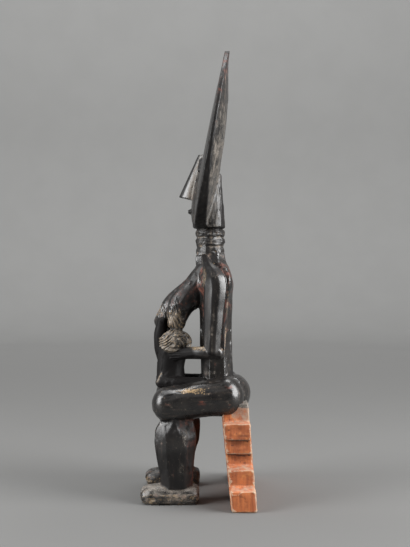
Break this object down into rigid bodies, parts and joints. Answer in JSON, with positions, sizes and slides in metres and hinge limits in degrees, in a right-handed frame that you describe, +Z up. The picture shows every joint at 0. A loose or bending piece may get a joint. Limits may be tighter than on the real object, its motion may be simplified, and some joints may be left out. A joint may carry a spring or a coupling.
{
  "type": "carved seated mother and child figure",
  "caption": "Carved wooden figure of a mother seated on a stepped stool with a child on her lap, her head a tall leaning oval plate, free-standing",
  "frame": {"origin": "on the ground, under the middle of the figure's outline", "axes": "+Z up, -Y the way the mother faces, +X towards her left side"},
  "size_m": [0.186, 0.1398, 0.5585],
  "materials": {
    "wood": "satin"
  },
  "bodies": {
    "root": {"figure": "wood"}
  },
  "joints": []
}
